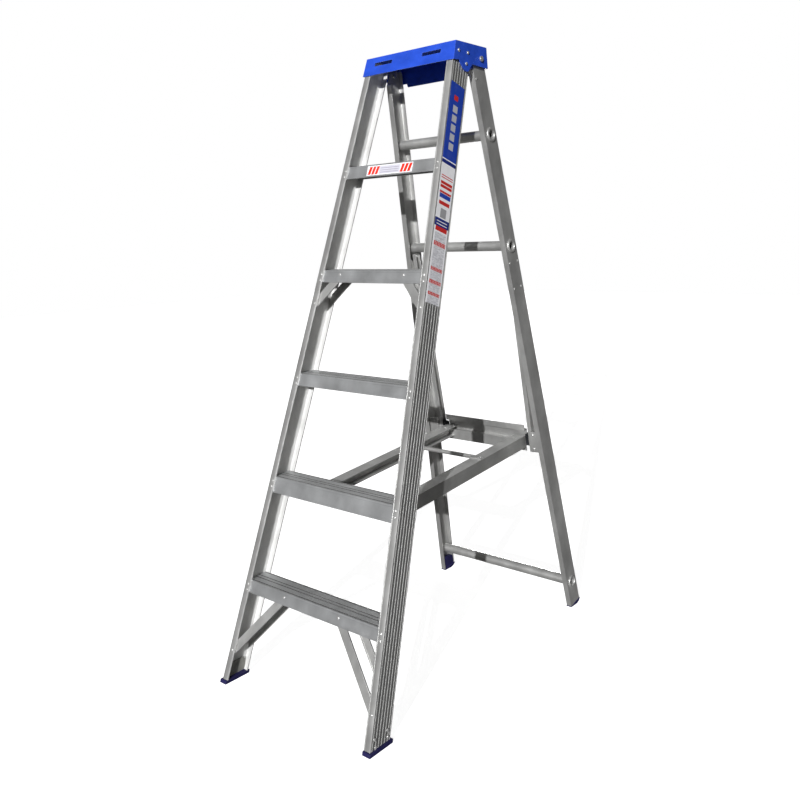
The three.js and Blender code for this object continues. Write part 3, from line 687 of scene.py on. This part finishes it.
def ruled_rows(tree, uv, across, along, colour):
    """Rows of small grey ticks in the white part, ruled like a measuring table."""
    bricks = tree.nodes.new("ShaderNodeTexBrick")
    scaled = tree.nodes.new("ShaderNodeMapping")
    scaled.inputs["Scale"].default_value = (1.0, 10.0, 1.0)
    tree.links.new(uv, scaled.inputs["Vector"])
    tree.links.new(scaled.outputs["Vector"], bricks.inputs["Vector"])
    for key, value in (("Scale", 12.0), ("Mortar Size", 0.030), ("Brick Width", 1.7), ("Row Height", 0.42)):
        bricks.inputs[key].default_value = value
    bricks.inputs["Color1"].default_value = (0.48, 0.48, 0.52, 1)
    bricks.inputs["Color2"].default_value = (0.80, 0.80, 0.84, 1)
    bricks.inputs["Mortar"].default_value = WHITE
    inside = worked(tree, "MULTIPLY", worked(tree, "LESS_THAN", along, up_label(1.328)),
                    worked(tree, "MULTIPLY", worked(tree, "GREATER_THAN", across, 0.10),
                           worked(tree, "LESS_THAN", across, 0.90)))
    split = tree.nodes.new("ShaderNodeSeparateColor")
    tree.links.new(colour, split.inputs["Color"])
    plain = worked(tree, "GREATER_THAN", split.outputs["Blue"], 0.6)
    ruled = mixed(tree, worked(tree, "MULTIPLY", inside, plain), colour, bricks.outputs["Color"])
    comb = worked(tree, "GREATER_THAN", worked(tree, "FRACT", worked(tree, "MULTIPLY", across, 9.0)), 0.45)
    lines = worked(tree, "GREATER_THAN", worked(tree, "FRACT", worked(tree, "MULTIPLY", along, 150.0)), 0.4)
    low = worked(tree, "LESS_THAN", along, up_label(1.330))
    low_bars = worked(tree, "MULTIPLY", low, worked(tree, "SUBTRACT", 1, plain))
    dashes = worked(tree, "MULTIPLY", worked(tree, "MULTIPLY", low_bars, comb), lines)
    return mixed(tree, worked(tree, "MULTIPLY", dashes, 0.6), ruled, WHITE)


label = film("side_label_film", "side_label", side_bands, WHITE, ruled_rows)
inverse = Matrix.Rotation(-FRONT_TILT, 3, "X")


LABEL_DEPTH, LABEL_WIDTH = 0.005, 0.058


def side_uv(point):
    local = inverse @ (point - Vector((0, FRONT_FOOT_Y, 0)))
    return ((local.y - LABEL_DEPTH) / LABEL_WIDTH, up_label(local.z))


lay_out(label, side_uv)

tread_bands = [((0.66, 0.66, 0.74, 1), (0.27, 0.73), (0.10, 0.90))]
for start in (0.020, 0.100, 0.180, 0.730, 0.810, 0.890):
    tread_bands.append((BRIGHT_RED, (start, start + 0.058), (0.10, 0.90), 0.045))
for row in range(3):
    tread_bands.append(((0.45, 0.42, 0.52, 1), (0.30, 0.70), (0.22 + 0.21 * row, 0.30 + 0.21 * row)))
label = film("tread_label_film", "tread_label", tread_bands, WHITE)
label_low, label_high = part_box("tread_label")
lay_out(label, lambda p: ((p.x - label_low.x) / (label_high.x - label_low.x),
                          (p.z - label_low.z) / (label_high.z - label_low.z)))

# ---- Rear legs ----------------------------------------------------------------------------
# The rear frame's two legs are a lighter plain channel of the same aluminium, web outwards,
# rounded off at the hinge bolt and cut on a slant above the floor.
REAR_TILT = math.radians(12.22)
leg_metal = extruded_aluminium("leg_aluminium", (0.0011, 0.0011, 0.35), (REAR_TILT, 0, 0))
for name in ("left", "right"):
    dressed_copy(f"rear_leg_{name}", leg_metal, 0.0005)

# ---- Rear tubes ---------------------------------------------------------------------------
# Three round tubes tie the rear legs together. Each end passes through the web and is spun
# over into a domed collar.
tube_metal = extruded_aluminium("tube_aluminium", (0.30, 0.0012, 0.0012))
REAR_HALF_WIDTH = 0.2759
REAR_TAPER = 0.07
REAR_FOOT_Y = FRONT_FOOT_Y + 1.0256


def rear_place(side):
    return rail_place(REAR_TILT, REAR_HALF_WIDTH, REAR_TAPER, REAR_FOOT_Y, side)


TUBE_DEPTH, TUBE_WALL = 0.030, 0.002
COLLAR = 0.0205
TURNS = 56


def collared_tube(name, along, radius):
    """A tube turned about its own axis, its ends rolled over into domed collars."""
    bore = radius - TUBE_WALL
    mouth = max(0.0118, bore - 0.0008)
    crest = (mouth + COLLAR) / 2
    end = [(0.010, radius), (-0.0004, radius), (-0.0004, 0.0200), (-0.0012, COLLAR), (-0.0026, 0.0199),
           (-0.0037, (crest + 0.0199) / 2), (-0.0042, crest), (-0.0039, (crest + mouth) / 2),
           (-0.0028, mouth + 0.0005), (-0.0008, mouth), (0.004, bore)]
    profile = [(-1, u, r) for u, r in reversed(end)] + [(1, u, r) for u, r in end]
    places = {side: rear_place(side) for side in (-1, 1)}
    count = len(profile)
    points, faces = [], []
    for k in range(TURNS):
        angle = 2 * math.pi * k / TURNS
        points += [places[side](u, TUBE_DEPTH + r * math.cos(angle), along + r * math.sin(angle))
                   for side, u, r in profile]
        for i in range(count):
            j, on = (i + 1) % count, (k + 1) % TURNS
            faces.append((k * count + i, k * count + j, on * count + j, on * count + i))
    return shade(add_object(name, solid_mesh(name, points, faces)), 50)


for where, along, radius in (("upper", 1.549, 0.0145), ("middle", 1.230, 0.0145), ("bottom", 0.084, 0.016)):
    tube = collared_tube(f"rear_tube_{where}_rolled", along, radius)
    tube.data.materials.append(tube_metal)
    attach(tube, "rear_frame")
    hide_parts(f"rear_tube_{where}")

# ---- Slider guides and rear feet ----------------------------------------------------------
# A small channel inside each rear leg guides the spreader's plastic shoe. Pressed brackets
# hold it off the leaning leg. The feet are moulded plugs of the front feet's plastic.
slider_plastic = moulded_plastic("slider_plastic", (0.020, 0.021, 0.024), 0.5)
for name in ("left", "right"):
    dressed_copy(f"guide_channel_{name}", leg_metal, 0.0004)
    dressed_copy(f"guide_top_bracket_{name}", pressed_metal, 0.0006)
    dressed_copy(f"guide_bottom_bracket_{name}", pressed_metal, 0.0006)
    dressed_copy(f"slider_shoe_{name}", slider_plastic, 0.0012, 3)
    dressed_copy(f"rear_foot_{name}", foot_plastic, 0.0012, 3)

# ---- Spreader -----------------------------------------------------------------------------
# A folding frame holds the rear legs out: two channel arms with a wide top flange, a folded
# cross channel at the back and a round tie rod. The arms turn on lugs behind the second tread.
ARM_SLOPE = 0.1
ARM_PITCH = math.atan(ARM_SLOPE)
arm_grain = ((0.0011, 0.35, 0.0011), (ARM_PITCH, 0, 0))
# Lit and shaded copies of one aluminium: the arms' upward faces are painted lighter (painted light), all
# other faces darker (painted shade).
arm_top_painted_light_metal = extruded_aluminium("arm_top_painted_light", *arm_grain, (0.80, 0.80, 0.79))
arm_side_painted_shade_metal = extruded_aluminium("arm_side_painted_shade", *arm_grain, (0.50, 0.50, 0.49), 0.46)
cross_metal = extruded_aluminium("cross_channel_aluminium", (0.35, 0.0012, 0.0012), (REAR_TILT, 0, 0))
for name in ("left", "right"):
    arm = dressed_copy(f"spreader_arm_{name}", arm_side_painted_shade_metal, 0.0011, 3)
    arm.data.materials.append(arm_top_painted_light_metal)
    # Upward faces take the painted-light finish.
    for face in arm.data.polygons:
        if face.normal.z > 0.8:
            face.material_index = 1
    dressed_copy(f"spreader_lug_{name}", pressed_metal, 0.0006)
dressed_copy("spreader_cross_channel", cross_metal, 0.0005)
dressed_copy("spreader_tie_rod", tube_metal, 0.0005)

# ---- Rear rivets --------------------------------------------------------------------------
# The guide brackets are riveted to the guides and the legs, and the tie rod's flattened ends
# to the arms, with the same domed rivets in smaller sizes.
guide_nodes = [f"guide_rivet_{i}_{name}" for i in (1, 2) for name in ("left", "right")]
rear_front = Vector((0, -math.cos(REAR_TILT), -math.sin(REAR_TILT)))
guide_seats = [(middle_of(n) - rear_front * 0.0008, rear_front) for n in guide_nodes]
set_rivets("guide_rivets", "rear_frame", guide_seats, 0.0044, 0.0021, guide_nodes)
web_seats = []
for side in (-1, 1):
    place = rear_place(side)
    for along, depth in ((1.701, 0.008), (1.182, 0.0087), (1.180, 0.050), (1.105, 0.007), (1.103, 0.047)):
        web_seats.append((place(0, depth, along), (side, 0, 0)))
set_rivets("leg_web_rivets", "rear_frame", web_seats, 0.0040, 0.0018)
ROD_END, FLANGE_STEP = 0.0046, 0.0026
FLANGE_RIVET_Y = 0.350
rod_middle, rod_top = middle_of("spreader_tie_rod"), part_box("spreader_tie_rod")[1].z
arm_up = Vector((0, -math.sin(ARM_PITCH), math.cos(ARM_PITCH)))


def arm_seat(x, y, drop):
    return Vector((x, y, rod_top - drop + ARM_SLOPE * (y - rod_middle.y))), arm_up


arm_seats = []
for side in (-1, 1):
    for shift in (-0.006, 0.006):
        arm_seats.append(arm_seat(side * 0.142, rod_middle.y + shift, ROD_END))
    arm_seats.append(arm_seat(side * 0.140, FLANGE_RIVET_Y, ROD_END + FLANGE_STEP))
set_rivets("spreader_rivets", "spreader", arm_seats, 0.0042, 0.0019)

# ---- Studio -------------------------------------------------------------------------------
# A plain pale floor, a white surround for the lens, a low key light from the right front, a
# weaker lamp behind and soft panels. The camera stands to the right front, at two thirds of
# the ladder's height.
floor_mesh = bpy.data.meshes.new("studio_floor")
floor_mesh.from_pydata([(-14, -14, 0), (14, -14, 0), (14, 14, 0), (-14, 14, 0)], [], [(0, 1, 2, 3)])
floor = add_object("studio_floor", floor_mesh)
floor_paint, tree, shader = new_material("studio_floor_paint")
mottle = cloud(tree, object_pattern(tree, (0.4, 0.4, 0.4)), 3.0)
tree.links.new(mixed(tree, mottle, (0.86, 0.86, 0.86, 1), (0.90, 0.90, 0.90, 1)), shader.inputs["Base Color"])
shader.inputs["Roughness"].default_value = 0.9
shader.inputs["Emission Color"].default_value = (1, 1, 1, 1)
shader.inputs["Emission Strength"].default_value = 0.86
floor_mesh.materials.append(floor_paint)

floor.visible_glossy = False
floor.visible_diffuse = False

world = bpy.data.worlds.new("studio")
scene.world = world
world.use_nodes = True
sky = world.node_tree
sky.nodes.clear()
rays = sky.nodes.new("ShaderNodeLightPath")
coords = sky.nodes.new("ShaderNodeTexCoord")
glow = 0.05
right_panel = ((1.0, 0.02, -0.15), 0.76, 0.98, 0.27)
overhead_panel = ((-0.30, -0.50, 0.80), 0.20, 0.95, 0.07)
back_panel = ((-0.75, 0.65, -0.25), 0.30, 0.95, 0.25)
for toward, edge, full, strength in (right_panel, overhead_panel, back_panel):
    dot = sky.nodes.new("ShaderNodeVectorMath")
    dot.operation = "DOT_PRODUCT"
    dot.inputs[1].default_value = Vector(toward).normalized()
    sky.links.new(coords.outputs["Generated"], dot.inputs[0])
    panel = remap(sky, dot.outputs["Value"], edge, full, 0.0, strength)
    glow = worked(sky, "ADD", panel, glow)
soft = sky.nodes.new("ShaderNodeBackground")
soft.inputs["Color"].default_value = (1.0, 0.995, 0.98, 1)
sky.links.new(glow, soft.inputs["Strength"])
plain = sky.nodes.new("ShaderNodeBackground")
plain.inputs["Color"].default_value = (1, 1, 1, 1)
both = sky.nodes.new("ShaderNodeMixShader")
sky.links.new(rays.outputs["Is Camera Ray"], both.inputs["Fac"])
sky.links.new(soft.outputs["Background"], both.inputs[1])
sky.links.new(plain.outputs["Background"], both.inputs[2])
surround = sky.nodes.new("ShaderNodeOutputWorld")
sky.links.new(both.outputs["Shader"], surround.inputs["Surface"])


def far_light(name, toward, strength, spread, shine=1.0):
    """A distant lamp; `toward` points from the ladder to it."""
    lamp = bpy.data.lights.new(name, "SUN")
    lamp.energy = strength
    lamp.angle = math.radians(spread)
    lamp.specular_factor = shine
    obj = bpy.data.objects.new(name, lamp)
    scene.collection.objects.link(obj)
    obj.rotation_euler = Vector(toward).to_track_quat("Z", "Y").to_euler()


far_light("key_light", (0.40, -1.0, 0.37), 4.1, 0.6)
far_light("back_light", (-0.55, 1.0, 0.0), 1.9, 14, 0.25)

CAMERA_STAND = (1.5340, -1.83148, 1.2396)
camera_data = bpy.data.cameras.new("view_camera")
camera_data.lens = 36.87
camera_data.sensor_width = 36.0
camera = bpy.data.objects.new("view_camera", camera_data)
scene.collection.objects.link(camera)
yaw, pitch, roll = math.radians(40.693), math.radians(-11.143), math.radians(-1.829)
ahead = Vector((-math.sin(yaw) * math.cos(pitch), math.cos(yaw) * math.cos(pitch), math.sin(pitch)))
level_right = Vector((math.cos(yaw), math.sin(yaw), 0))
level_up = level_right.cross(ahead)
right = level_right * math.cos(roll) + level_up * math.sin(roll)
up = level_up * math.cos(roll) - level_right * math.sin(roll)
turn = Matrix((right, up, -ahead)).transposed()
camera.matrix_world = Matrix.Translation(CAMERA_STAND) @ turn.to_4x4()
scene.camera = camera
scene.view_settings.view_transform = "Standard"
